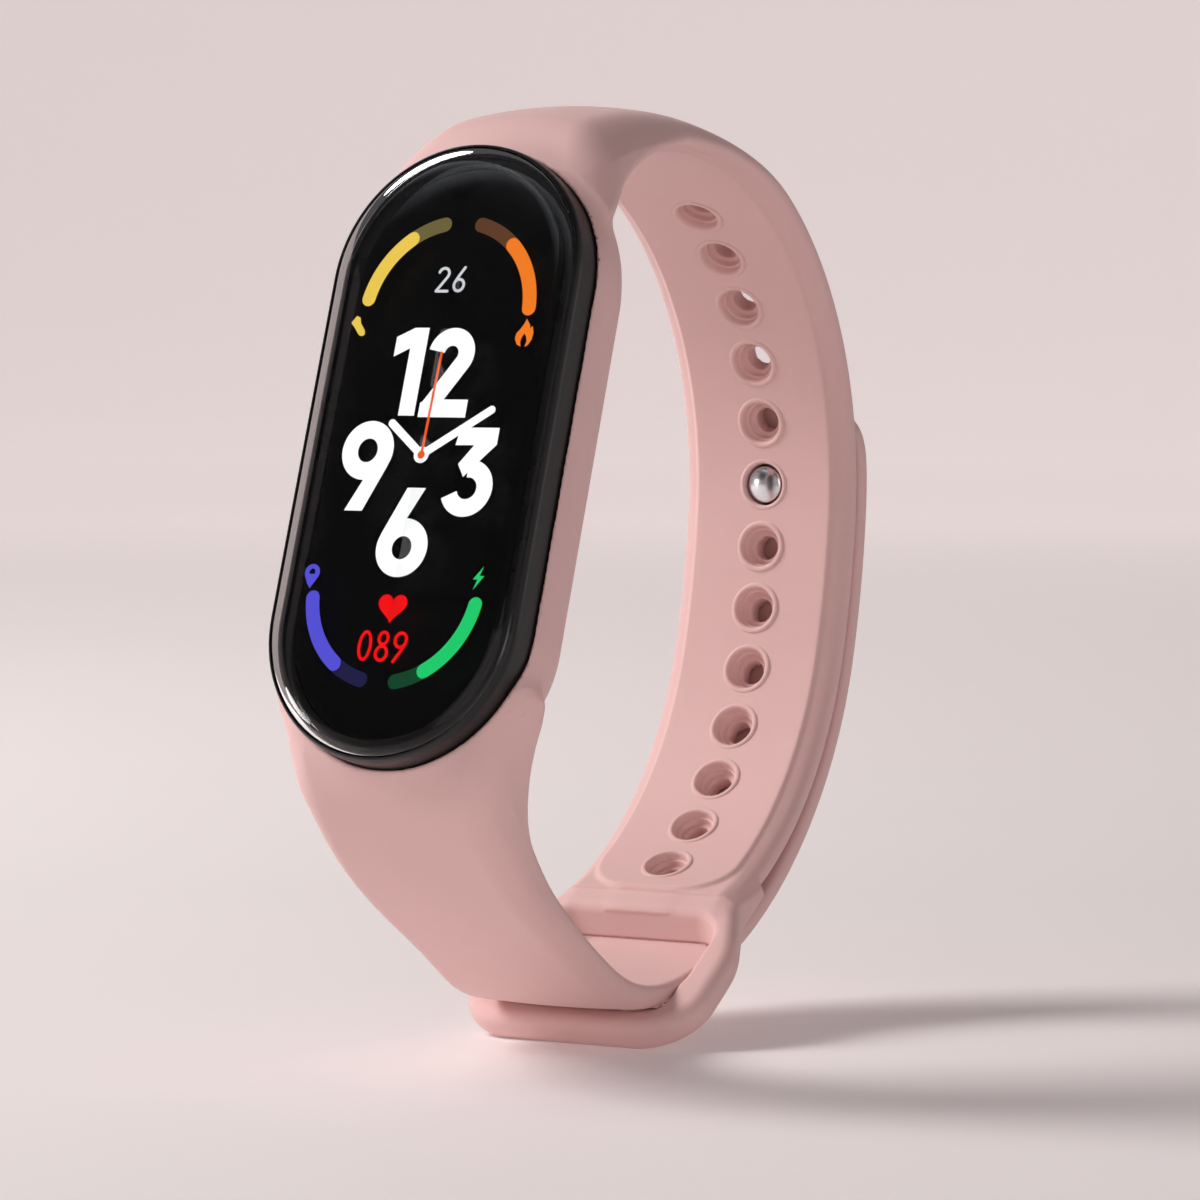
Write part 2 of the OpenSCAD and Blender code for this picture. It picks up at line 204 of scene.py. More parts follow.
def locate(chain, y, z):
    """Height above a chain of arcs, length along it, and distance past its nearer end."""
    best = None
    start = 0.0
    for (cy, cz), radius, first, last in chain:
        dy, dz = y - cy, z - cz
        rho = np.hypot(dy, dz)
        middle = math.radians((first + last) / 2)
        half = math.radians((first - last) / 2)
        turn = (np.arctan2(dz, dy) - middle + math.pi) % (2 * math.pi) - math.pi
        held = np.clip(turn, -half, half)
        over = turn - held
        height = rho * np.cos(over) - radius
        beyond = rho * np.sin(over)
        away = height * height + beyond * beyond
        along = start + radius * (half - held)
        start += 2 * half * radius
        if best is None:
            best = [away, height, along, np.abs(beyond)]
            continue
        nearer = away < best[0]
        for slot, value in enumerate((away, height, along, np.abs(beyond))):
            best[slot] = np.where(nearer, value, best[slot])
    _, height, along, beyond = best
    end = np.where(beyond > 0, beyond, -np.minimum(along, start - along))
    return height, along, end


def past(centre, degrees, y, z):
    """Signed distance past the radial line of a circle, towards larger angles."""
    a = math.radians(degrees)
    return -(y - centre[0]) * math.sin(a) + (z - centre[1]) * math.cos(a)


def in_capsule(x, y, z):
    """(along the pill, depth behind the glass, distance from the pill's middle line)."""
    dy, dz = y - GLASS_POINT[0], z - GLASS_POINT[1]
    along = dy * math.sin(LEAN) + dz * math.cos(LEAN)
    depth = dy * math.cos(LEAN) - dz * math.sin(LEAN)
    return along, depth, np.hypot(x, np.maximum(np.abs(along) - END_C, 0))


def plane(u, v, point, normal):
    """Signed distance from a line in a section, positive on the side of the normal."""
    size = math.hypot(*normal)
    return ((u - point[0]) * normal[0] + (v - point[1]) * normal[1]) / size


# ---------- the strap ----------

def ring_field(depth, rho):
    """Ring around the capsule: bevelled in front, tapering behind."""
    front = RIM_DEPTH - depth
    bevel = plane(rho, depth, (10.5, 2.8), (1.4, -0.8))
    side = rho - RING_R
    taper = plane(rho, depth, (RING_R, 5.2), (0.879, 0.477))
    outer = carve(carve(bevel, -side, 0.5), -taper, 0.9)
    outer = carve(outer, -front, 0.25)
    return carve(outer, 8.6 - depth, 0.4)


def bay_field(depth, rho):
    """Room for the capsule, with a seat behind it."""
    wall = CASE_R + 0.04
    seat = 8.65
    cone = np.maximum(rho - wall, plane(rho, depth, (wall, 5.1), (3.5, wall - seat)))
    return np.maximum(np.minimum(cone, rho - seat), depth - 20)


def hole_room(x, height, along):
    """Bores of all holes; the stud's own is wider outside, as the stud swings out on an arc."""
    index = np.clip(np.round((along - FIRST_S) / HOLE_PITCH), 0, HOLE_COUNT - 1)
    off = (along - FIRST_S - HOLE_PITCH * index) * (1 + height / 28)
    gap = np.hypot(x, off)
    stepped = np.minimum(np.maximum(gap - SOCKET_R, height - 1.2), gap - NECK_R)
    swing = np.clip(-off, 0, 1.2)
    long_gap = np.hypot(x, off + swing)
    stud = np.minimum(np.maximum(gap - SOCKET_R, height - 1.2),
                      np.maximum(long_gap - STUD_BORE_R, 1.0 - height))
    bore = np.where(index == STUD_HOLE, stud, stepped)
    return np.maximum(bore, np.abs(height - 1) - 3.5)


FLARE_START = 18.6      # from the pill's middle; nearer, the strap hides in the ring
FLARE_END = 26.3        # from here on the strap has its plain width
FLARE_RATE = 0.0395     # how fast the half width grows towards the ring
FLAT_HALF = 6.2         # the inner face's margin starts to sink here
EDGE_HALF = 7.7         # and is at its lowest here
NEAR_BRIDGE = (34, 14)  # length along the back strap over which it turns into the bridge
WIDE_BRIDGE = (22, 13)  # length over which the bridge takes on the ring's width
PLATEAU_HALF = 6.15     # raised inner face around the holes
PLATEAU_END = 3.4       # its reach past the last hole
PLATEAU_ROOT = 1.2      # how deep it is sunk into the strap
MARGIN_DROP = 0.3       # the plain inner face lies this much lower
EDGE_DROP = 0.6         # and this much more at the edges


def flared(from_middle):
    """Half width of the strap near the ring, by the distance from the pill's middle."""
    inside = np.sqrt(RING_R ** 2 - np.clip(from_middle - END_C, 0, 6) ** 2)
    outside = STRAP_HALF + FLARE_RATE * np.maximum(FLARE_END - from_middle, 0) ** 2
    return np.where(from_middle < FLARE_START, inside, outside)


def at_edge(x):
    """0 on the flat middle of the strap, 1 at its edges."""
    return step_up(np.abs(x), FLAT_HALF, EDGE_HALF)


def back_field(x, y, z, height, along, end):
    """Hole strap with the bridge over the capsule's top end."""
    middle, depth, _ = in_capsule(x, y, z)
    near = step_up(along, *NEAR_BRIDGE)
    bridge = np.hypot(y - BRIDGE_C[0], z - BRIDGE_C[1]) - BRIDGE_R
    outer = np.where(along < CROWN_S, bridge, height - STRAP_T)
    wider = np.minimum(flared(middle) + 0.3 + 0.35 * np.clip(-outer, 0, 3), RING_R) - STRAP_HALF
    wide = STRAP_HALF + wider * step_up(along, *WIDE_BRIDGE)
    outer = outer + (x / STRAP_HALF) ** 2 * (0.15 + 0.75 * near)
    flank = MARGIN_DROP + EDGE_DROP * at_edge(x) * (1 - 0.6 * near)
    solid = meet(meet(np.abs(x) - wide, outer, 0.75 + 2.2 * near), flank - height, 0.5 + 0.4 * near)
    solid = meet(np.maximum(solid, end), RIM_DEPTH - depth, 3.0)
    outline = meet(np.abs(x) - PLATEAU_HALF, along - LAST_S - PLATEAU_END, 4.0)
    plateau = meet(np.maximum(outline, height - PLATEAU_ROOT), -height, 0.3)
    return join(solid, plateau, 0.35)


def lead_section(x, height, thick, wide, soft=0.85, inward=0.0):
    """Section of the lead strap: rounded outside, flatter inside."""
    crown = (x / STRAP_HALF) ** 2 * 0.25
    return meet(meet(np.abs(x) - wide, height - thick + crown, soft), -height - inward, 0.6)


def lead_field(x, y, z):
    """Lead strap from under the hole strap to the capsule's lower end."""
    height, along, end = locate(LEAD, y, z)
    middle, depth, _ = in_capsule(x, y, z)
    bend_s = arc_length(LEAD, 2)
    rise_s = arc_length(LEAD, 3)
    thick = LEAD_T + 0.5 * step_up(along, bend_s, rise_s)
    thick = thick + 1.5 * step_up(along, rise_s + 3, rise_s + 19)
    near = step_up(along, rise_s + 10, rise_s + 22)
    leaning = 0.3 * near * np.clip(thick - height, 0, 3)
    wide = np.minimum(flared(-middle) + leaning, RING_R)
    soft = 0.85 + 1.0 * step_up(along, bend_s, rise_s + 6)
    inward = 3.5 * step_up(along, rise_s + 16, rise_s + 28)
    solid = lead_section(x, height, thick, wide, soft, inward)
    return meet(np.maximum(solid, end), RIM_DEPTH - depth, 2.5)


LOOP_MIDDLE = 6.95      # lengths along the loop, from the end of the hole strap
LOOP_REACH = 9.95
LOOP_WIDER = 3.15       # the loop is this much wider than the strap, each side
LOOP_RISE = (1.6, -3.0)     # towards the strap the loop sinks into it
BAR_START = -3.0
BAR_FACE = (3.0, 0.2)
BAR_NORMAL = (3.67, -1.85)
BAR_OUT = 3.3
BAR_HALF = 7.9
SLOT_HALF = 7.8
SLOT_END = 12.8


def loop_field(x, y, z):
    """Buckle loop: frame that widens from the strap, with a slot and a thick crossbar."""
    a = math.radians(LOOP_A)
    dy, dz = y - STRAP_END[0], z - STRAP_END[1]
    run = dy * math.cos(a) + dz * math.sin(a)
    up = -dy * math.sin(a) + dz * math.cos(a)
    sunk = step_up(run, *LOOP_RISE)
    inner = 0.4 + 0.5 * at_edge(x) * step_up(run, 5, -1) + 0.9 * sunk
    bent = up - inner - 0.1 * step_up(run, 8, 15)
    half = STRAP_HALF - 0.2 + LOOP_WIDER * step_up(run, -2, 9)
    outline = meet(np.abs(x) - half, np.abs(run - LOOP_MIDDLE) - LOOP_REACH, 5.0)
    half_thick = 1.3 - 0.95 * sunk
    frame_part = meet(outline, np.abs(bent - half_thick) - half_thick, 1.1)
    face = plane(run, up, BAR_FACE, BAR_NORMAL)
    bar = meet(meet(face, inner - up, 0.9), up - BAR_OUT, 0.6)
    bar = meet(np.maximum(bar, BAR_START - run), np.abs(x) - BAR_HALF, 0.6)
    slot = meet(np.abs(x) - SLOT_HALF, np.maximum(-face, run - SLOT_END), 2.7)
    return carve(join(frame_part, bar, 0.4), slot, 0.5)


def uncut_strap(x, y, z, height, along, end):
    """The strap before the capsule's room and the holes are taken out."""
    _, depth, rho = in_capsule(x, y, z)
    ring = ring_field(depth, rho)
    lead = lead_field(x, y, z)
    back = back_field(x, y, z, height, along, end)
    back = join(back, loop_field(x, y, z), 0.35)
    back = carve(back, lead - LAYER_GAP, 0.25)
    front = np.maximum(lead, past(UNDER_C, SEAM_A, y, z))
    return np.minimum(join(back, ring, 1.6), join(front, ring, 1.6))


def strap_field(x, y, z):
    """One-piece strap: hole strap, bridge, ring, loop and the first stretch of the lead."""
    height, along, end = locate(BACK, y, z)
    _, depth, rho = in_capsule(x, y, z)
    solid = carve(uncut_strap(x, y, z, height, along, end), bay_field(depth, rho), 0.35)
    return carve(solid, hole_room(x, height, along), 0.12)


def tail_field(x, y, z):
    """Free end of the lead strap, from the seam under the loop to its round tip."""
    height, _, end = locate(TAIL, y, z)
    solid = np.maximum(lead_section(x, height, LEAD_T, STRAP_HALF), end) + 0.02
    outline = meet(np.abs(x) - STRAP_HALF - 0.3, z - 9.8, 6.6)
    solid = meet(solid, outline, 0.6)
    centre, radius, angle = hole_place(STUD_HOLE)
    a = math.radians(angle)
    place = on_circle(centre, radius, angle)
    dy, dz = y - place[0], z - place[1]
    out = dy * math.cos(a) + dz * math.sin(a)
    gap = np.hypot(x, -dy * math.sin(a) + dz * math.cos(a))
    bore = np.minimum(gap - 0.9, np.maximum(gap - 2.75, LEAD_OFF + LEAD_T - 0.55 - out))
    solid = carve(solid, bore, 0.12)
    return np.maximum(solid, -past(UNDER_C, SEAM_A, y, z) - 0.6)


# ---------- meshes from distance formulas ----------

def sampled(field, low, size, step):
    """Field values on a grid; blocks far from the surface only get the value of their middle."""
    block = 8
    far = step * block * 2.0
    batch = 300
    count = [int(math.ceil(s / (step * block))) for s in size]
    mids = [low[k] + (np.arange(count[k]) + 0.5) * step * block for k in range(3)]
    coarse = field(*np.meshgrid(*mids, indexing="ij"))
    values = np.repeat(coarse, block, 0).repeat(block, 1).repeat(block, 2)
    near = np.argwhere(np.abs(coarse) < far)
    inner = np.stack(np.meshgrid(*[np.arange(block)] * 3, indexing="ij"), -1).reshape(-1, 3)
    for first in range(0, len(near), batch):
        part = (near[first:first + batch, None] * block + inner).reshape(-1, 3)
        x, y, z = (low[k] + part[:, k] * step for k in range(3))
        values[part[:, 0], part[:, 1], part[:, 2]] = field(x, y, z)
    return values


def gradient(field, points, eps=0.02):
    """Field values, their slopes and the slopes' sizes at points."""
    slopes = []
    for k in range(3):
        ahead = points.copy()
        ahead[:, k] += eps
        behind = points.copy()
        behind[:, k] -= eps
        slopes.append(field(*ahead.T) - field(*behind.T))
    slope = np.stack(slopes, 1) / (2 * eps)
    size = np.maximum(np.linalg.norm(slope, axis=1), 1e-6)
    return field(*points.T), slope, size


def surface(field, low, high, step):
    """Vertices, quads and normals of the surface where a field is zero (surface nets)."""
    low = np.array(low, float)
    size = np.array(high, float) - low
    values = sampled(field, low, size, step)
    inside = values < 0
    total = sum(inside[i:inside.shape[0] - 1 + i, j:inside.shape[1] - 1 + j,
                       k:inside.shape[2] - 1 + k].astype(np.int8)
                for i in (0, 1) for j in (0, 1) for k in (0, 1))
    mixed = (total > 0) & (total < 8)
    cells = np.argwhere(mixed)
    number = np.full(mixed.shape, -1, np.int32)
    number[mixed] = np.arange(len(cells))
    summed = np.zeros((len(cells), 3))
    hits = np.zeros(len(cells))
    faces = []
    for axis in range(3):
        one = np.eye(3, dtype=int)[axis]
        others = [k for k in range(3) if k != axis]
        for i in (0, 1):
            for j in (0, 1):
                off = np.zeros(3, int)
                off[others[0]], off[others[1]] = i, j
                a = values[tuple((cells + off).T)]
                b = values[tuple((cells + off + one).T)]
                cross = (a < 0) != (b < 0)
                t = a[cross] / (a[cross] - b[cross])
                summed[cross] += off + t[:, None] * one
                hits[cross] += 1
        a = np.take(inside, range(0, inside.shape[axis] - 1), axis)
        b = np.take(inside, range(1, inside.shape[axis]), axis)
        edges = np.argwhere(a != b)
        edges = edges[(edges[:, others[0]] > 0) & (edges[:, others[1]] > 0)]
        edges = edges[(edges[:, others[0]] < mixed.shape[others[0]])
                      & (edges[:, others[1]] < mixed.shape[others[1]])]
        quads = []
        for i, j in ((1, 1), (0, 1), (0, 0), (1, 0)):
            corner = edges.copy()
            corner[:, others[0]] -= i
            corner[:, others[1]] -= j
            quads.append(number[tuple(corner.T)])
        quads = np.stack(quads, 1)
        starts_inside = a[tuple(edges.T)]
        turned = starts_inside if axis != 1 else ~starts_inside
        quads[~turned] = quads[~turned][:, ::-1]
        faces.append(quads)
    points = low + step * (cells + summed / hits[:, None])
    for _ in range(2):
        value, slope, size = gradient(field, points)
        move = np.clip(value / size, -0.5 * step, 0.5 * step)
        points -= slope / size[:, None] * move[:, None]
    _, slope, size = gradient(field, points, 0.04)
    return points, np.concatenate(faces), slope / size[:, None]


def new_object(name, points, faces, body=None, material=None, normals=None, sharp=None):
    """Smooth-shaded object from points in millimetres."""
    mesh = bpy.data.meshes.new(name)
    points = np.asarray(points, float) * MM
    mesh.from_pydata(points.tolist(), [], [list(map(int, f)) for f in faces])
    mesh.update()
    mesh.polygons.foreach_set("use_smooth", [True] * len(mesh.polygons))
    if sharp is not None:
        mesh.set_sharp_from_angle(angle=math.radians(sharp))
    if normals is not None:
        mesh.normals_split_custom_set_from_vertices(normals.tolist())
    if material is not None:
        mesh.materials.append(material)
    obj = bpy.data.objects.new(name, mesh)
    bpy.context.scene.collection.objects.link(obj)
    if body is not None:
        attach(obj, body)
    return obj


# ---------- materials ----------

class Nodes:
    """A material's node tree with short calls for what is used here."""

    def __init__(self, name, color, roughness, **sockets):
        self.material = bpy.data.materials.new(name)
        self.material.use_nodes = True
        self.tree = self.material.node_tree
        self.shader = self.tree.nodes["Principled BSDF"]
        self.shader.inputs["Base Color"].default_value = (*color, 1)
        self.shader.inputs["Roughness"].default_value = roughness
        for key, value in sockets.items():
            self.shader.inputs[key.replace("_", " ")].default_value = value
        self.color = color
        coords = self.add("ShaderNodeTexCoord")
        self.place = coords.outputs["Object"]
        self.height = None

    def add(self, kind, **inputs):
        node = self.tree.nodes.new(kind)
        for key, value in inputs.items():
            node.inputs[key.replace("_", " ")].default_value = value
        return node

    def link(self, source, target):
        self.tree.links.new(source, target)

    def noise(self, scale, detail=3.0, stretch=None):
        """Noise with features about scale millimetres wide."""
        node = self.add("ShaderNodeTexNoise", Scale=1000 / scale, Detail=detail)
        if stretch is None:
            self.link(self.place, node.inputs["Vector"])
        else:
            mapping = self.add("ShaderNodeMapping", Scale=stretch)
            self.link(self.place, mapping.inputs["Vector"])
            self.link(mapping.outputs["Vector"], node.inputs["Vector"])
        return node.outputs["Fac"]

    def ramp(self, source, low, high, first, last):
        node = self.add("ShaderNodeMapRange")
        for key, value in (("From Min", low), ("From Max", high), ("To Min", first), ("To Max", last)):
            node.inputs[key].default_value = value
        self.link(source, node.inputs["Value"])
        return node.outputs["Result"]

    def tint(self, fac, amount, other=None):
        """Varies the base colour between two shades of it."""
        dark = tuple(c * (1 - amount) for c in self.color)
        light = other or tuple(min(c * (1 + amount), 1) for c in self.color)
        node = self.tree.nodes.new("ShaderNodeMix")
        node.data_type = "RGBA"
        node.inputs[6].default_value = (*dark, 1)
        node.inputs[7].default_value = (*light, 1)
        self.link(fac, node.inputs[0])
        self.link(node.outputs[2], self.shader.inputs["Base Color"])

    def rough(self, fac, low, high):
        self.link(self.ramp(fac, 0.3, 0.7, low, high), self.shader.inputs["Roughness"])

    def bump(self, fac, strength, depth):
        """Adds a bump of about depth millimetres."""
        node = self.add("ShaderNodeBump", Strength=strength, Distance=depth * MM)
        self.link(fac, node.inputs["Height"])
        if self.height is not None:
            self.link(self.height, node.inputs["Normal"])
        self.height = node.outputs["Normal"]
        self.link(self.height, self.shader.inputs["Normal"])


def grained(name, color, roughness, grain=0.3, shade=0.06, spread=0.05, depth=0.01, **sockets):
    """Moulded or plated surface with fine grain, faint shade changes and uneven gloss."""
    nodes = Nodes(name, color, roughness, **sockets)
    fine = nodes.noise(grain)
    nodes.tint(nodes.noise(grain * 12), shade)
    nodes.rough(nodes.noise(grain * 5), max(roughness - spread, 0.02), roughness + spread)
    nodes.bump(fine, 0.5, depth)
    return nodes.material


def silicone():
    """Soft-touch silicone: matte, a little light passes into it, faint dust-fine grain."""
    nodes = Nodes("pink_silicone", (0.77, 0.50, 0.482), 0.5, Subsurface_Weight=0.05,
                  Subsurface_Radius=(0.9, 0.45, 0.4), Subsurface_Scale=0.0012,
                  Sheen_Weight=0.15, Sheen_Roughness=0.4, Sheen_Tint=(1, 0.85, 0.82, 1),
                  IOR=1.41)
    nodes.tint(nodes.noise(6.0), 0.025)
    nodes.rough(nodes.noise(1.5), 0.44, 0.54)
    nodes.bump(nodes.noise(0.12, 2.0), 0.35, 0.006)
    nodes.bump(nodes.noise(3.0, 1.0), 0.3, 0.03)
    return nodes.material


def lit(name, color, strength):
    """Lit pixels of the display, with a faint pixel grid."""
    nodes = Nodes(name, (0.0, 0.0, 0.0), 0.4)
    grid = nodes.add("ShaderNodeTexNoise", Scale=9000.0, Detail=0.0)
    nodes.link(nodes.place, grid.inputs["Vector"])
    nodes.shader.inputs["Emission Color"].default_value = (*color, 1)
    glow = nodes.ramp(grid.outputs["Fac"], 0.3, 0.7, strength * 0.97, strength * 1.03)
    nodes.link(glow, nodes.shader.inputs["Emission Strength"])
    return nodes.material


def cover_glass(name):
    """Clear tempered glass with very faint smudges."""
    nodes = Nodes(name, (0.98, 0.985, 0.99), 0.0, Transmission_Weight=1.0, IOR=1.34)
    nodes.rough(nodes.noise(4.0), 0.0, 0.025)
    return nodes.material


def circuit(name, color, trace):
    """Solder mask or film with fine copper traces under it."""
    nodes = Nodes(name, color, 0.32, Coat_Weight=0.4)
    wave = nodes.add("ShaderNodeTexBrick", Scale=900.0, Mortar_Size=0.012)
    nodes.link(nodes.place, wave.inputs["Vector"])
    nodes.tint(wave.outputs["Fac"], 0.0, trace)
    nodes.bump(wave.outputs["Fac"], 0.5, 0.02)
    nodes.bump(nodes.noise(0.4), 0.3, 0.01)
    return nodes.material


def crinkled(name, color):
    """Battery foil with creases."""
    nodes = Nodes(name, color, 0.3, Metallic=0.85)
    cells = nodes.add("ShaderNodeTexVoronoi", Scale=420.0)
    nodes.link(nodes.place, cells.inputs["Vector"])
    nodes.bump(cells.outputs["Distance"], 0.6, 0.05)
    nodes.tint(nodes.noise(3.0), 0.08)
    nodes.rough(nodes.noise(1.0), 0.22, 0.4)
    return nodes.material


def brushed(name, color, roughness, stretch=(1, 1, 14), **sockets):
    """Metal with fine drawn lines."""
    nodes = Nodes(name, color, roughness, Metallic=1.0, **sockets)
    lines = nodes.noise(0.5, 4.0, stretch)
    nodes.tint(nodes.noise(2.0), 0.05)
    nodes.rough(lines, roughness * 0.7, roughness * 1.35)
    nodes.bump(lines, 0.25, 0.006)
    return nodes.material


PINK = silicone()
BLACK_CASE = grained("black_case", (0.005, 0.005, 0.006), 0.3, grain=0.6, shade=0.15,
                     spread=0.05, depth=0.001, Specular_IOR_Level=0.4)
GLASS = cover_glass("cover_glass")
CHROME = grained("chrome", (0.78, 0.79, 0.81), 0.24, grain=0.8, shade=0.03, spread=0.04,
                 depth=0.002, Metallic=1.0)
CONTACT_GOLD = brushed("contact_gold", (0.83, 0.62, 0.28), 0.25)
SLOT_MATERIALS = {
    "strap_silicone": PINK,
    "stud_metal": CHROME,
    "cover_glass": GLASS,
    "touch_film": grained("touch_film", (0.004, 0.004, 0.005), 0.12, depth=0.0005),
    "display_black": grained("display_black", (0.003, 0.003, 0.004), 0.2, depth=0.001),
    "black_foam": grained("black_foam", (0.03, 0.03, 0.03), 0.9, grain=0.25, shade=0.3, depth=0.08),
    "case_black": BLACK_CASE,
    "frame_metal": brushed("frame_metal", (0.6, 0.6, 0.62), 0.35, (14, 1, 1)),
    "circuit_green": circuit("circuit_green", (0.012, 0.11, 0.035), (0.03, 0.2, 0.06)),
    "tin_plate": brushed("tin_plate", (0.62, 0.62, 0.63), 0.3),
    "chip_black": grained("chip_black", (0.022, 0.022, 0.024), 0.6, grain=0.15, depth=0.01),
    "battery_foil": crinkled("battery_foil", (0.68, 0.69, 0.70)),
    "white_adhesive": grained("white_adhesive", (0.82, 0.82, 0.79), 0.7, grain=0.4, depth=0.02),
    "shaft_steel": brushed("shaft_steel", (0.55, 0.55, 0.56), 0.22),
    "circuit_amber": circuit("circuit_amber", (0.5, 0.19, 0.02), (0.62, 0.33, 0.08)),
    "weight_brass": brushed("weight_brass", (0.60, 0.48, 0.25), 0.35),
    "led_green": grained("led_green", (0.10, 0.60, 0.15), 0.15, grain=0.3, depth=0.004,
                         Transmission_Weight=0.3),
    "diode_dark": grained("diode_dark", (0.02, 0.03, 0.08), 0.12, grain=0.3, depth=0.004),
    "sensor_glass": grained("sensor_glass", (0.012, 0.012, 0.015), 0.06, grain=1.0, depth=0.0005,
                            Coat_Weight=1.0),
    "gasket_white": grained("gasket_white", (0.7, 0.7, 0.68), 0.55, grain=0.3, depth=0.01),
    "contact_gold": CONTACT_GOLD,
}

for part in frame["record"]["subparts"]:
    node = frame["nodes"][part["node"]]
    node.data.materials.clear()
    node.data.materials.append(SLOT_MATERIALS[part["material_slot"]])


# ---------- strap pieces ----------

STEP = 0.26
STRAP_BOX = ((-12.2, -31.0, -40.2), (12.2, 34.4, 33.4))
TAIL_BOX = ((-8.6, 8.0, -36.0), (8.6, 38.0, 11.4))

points, faces, normals = surface(strap_field, *STRAP_BOX, STEP)
strap = new_object("strap_body", points, faces, "strap", PINK, normals)
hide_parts("strap_cradle", "hole_strap", "buckle_loop")

points, faces, _ = surface(tail_field, *TAIL_BOX, STEP)
tail = new_object("strap_tail", points, faces, None, PINK)
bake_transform(tail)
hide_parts("lead_strap", "tail_tip")


def turned(name, profile, places, body, material, sharp=40, around=48):
    """Closed shapes turned about radial lines; profile is (radius, height outwards)."""
    points, faces = [], []
    count = len(profile)
    for centre, radius, degrees in places:
        a = math.radians(degrees)
        foot = on_circle(centre, radius, degrees)
        base = len(points)
        for i in range(around):
            t = 2 * math.pi * i / around
            for r, h in profile:
                side = r * math.sin(t)
                points.append((r * math.cos(t),
                               foot[0] + h * math.cos(a) - side * math.sin(a),
                               foot[1] + h * math.sin(a) + side * math.cos(a)))
        for i in range(around):
            for j in range(count):
                k = (j + 1) % count
                n = (i + 1) % around
                faces.append((base + i * count + j, base + i * count + k,
                              base + n * count + k, base + n * count + j))
    return new_object(name, points, faces, body, material, sharp=sharp)


def rounded(corners, radius, steps=4):
    """Closed outline with its corners rounded; each corner may carry its own radius."""
    out = []
    count = len(corners)
    for i in range(count):
        p = np.array(corners[i][:2], float)
        before = np.array(corners[i - 1][:2], float) - p
        after = np.array(corners[(i + 1) % count][:2], float) - p
        r = corners[i][2] if len(corners[i]) > 2 else radius
        reach = min(r, 0.45 * np.linalg.norm(before), 0.45 * np.linalg.norm(after))
        start = p + before / np.linalg.norm(before) * reach
        end = p + after / np.linalg.norm(after) * reach
        for s in range(steps + 1):
            t = s / steps
            out.append(tuple((1 - t) ** 2 * start + 2 * t * (1 - t) * p + t * t * end))
    return out


# moulded ring of a hole: raised lip, wide bore, step, narrow neck
LIP = rounded([(2.12, 0.3), (2.12, -0.02, 0.1), (1.98, -0.15, 0.1), (1.74, -0.15, 0.1),
               (BORE_R, 0.05, 0.1), (BORE_R - 0.04, 0.5, 0.05), (1.42, 0.56, 0.05),
               (1.38, 1.0, 0.1), (NECK_R + 0.03, 1.05, 0.1), (NECK_R, 1.75),
               (2.0, 1.75), (2.0, 0.5)], 0.03)
open_holes = [hole_place(i) for i in range(HOLE_COUNT) if i != STUD_HOLE]
lips = turned("hole_rings", LIP, open_holes, "strap", PINK)

STUD_LIP = rounded([(2.12, 0.3), (2.12, -0.02, 0.1), (1.98, -0.12, 0.1), (1.8, -0.12, 0.1),
                    (1.68, 0.05, 0.1), (1.69, 0.9, 0.05), (2.0, 0.9)], 0.03)
stud_lip = turned("stud_hole_ring", STUD_LIP, [hole_place(STUD_HOLE)], "strap", PINK)

TAIL_OUT = LEAD_OFF + LEAD_T
DOME_R = 2.9                        # shallow dome of the stud's head
DOME_C = 2.68                       # height of the dome's centre
CAP_R = 2.68                        # the stud's outer cap
PIN_R = 0.84
dome = [(DOME_R * math.sin(math.radians(t)), DOME_C - DOME_R * math.cos(math.radians(t)))
        for t in range(0, 29, 4)]
cap = [(CAP_R * math.sin(math.radians(t)), TAIL_OUT - 0.2 + 0.3 * math.cos(math.radians(t)))
       for t in range(90, -1, -9)]
head = [(1.43, 0.18), (1.47, 0.26), (1.48, 0.4), (1.48, 0.8), (1.42, 0.95), (1.2, 1.03)]
shank = [(PIN_R + 0.02, 1.08), (PIN_R, 2.6), (PIN_R, TAIL_OUT - 0.55),
         (CAP_R - 0.06, TAIL_OUT - 0.52), (CAP_R, TAIL_OUT - 0.45)]
STUD = [(max(r, 0.001), h) for r, h in dome + head + shank + cap]
stud = turned("stud", STUD, [hole_place(STUD_HOLE)], "tail", CHROME, sharp=50)
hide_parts("stud_pin", "stud_cap")


# ---------- capsule ----------

def worn(x, along, depth):
    """Point of the capsule in the row frame."""
    return (x,
            GLASS_POINT[0] + along * math.sin(LEAN) + depth * math.cos(LEAN),
            GLASS_POINT[1] + along * math.cos(LEAN) - depth * math.sin(LEAN))


def pill_ring(radius, around=48, sides=24):
    """Points of a pill outline."""
    out = []
    for side in (1, -1):
        for i in range(around + 1):
            t = math.pi * i / around
            out.append((side * radius * math.cos(t), side * (END_C + radius * math.sin(t))))
        for i in range(1, sides):
            t = i / sides
            out.append((-side * radius, side * END_C * (1 - 2 * t)))
    return out


def pill_sweep(name, profile, body, material, sharp=40):
    """Closed profile of (radius, depth) swept around the pill."""
    points, faces = [], []
    for radius, depth in profile:
        points += [worn(x, along, depth) for x, along in pill_ring(max(radius, 0.002))]
    around = len(pill_ring(1.0))
    count = len(profile)
    for j in range(count):
        k = (j + 1) % count
        for i in range(around):
            n = (i + 1) % around
            faces.append((j * around + i, j * around + n, k * around + n, k * around + i))
    return new_object(name, points, faces, body, material, sharp=sharp)


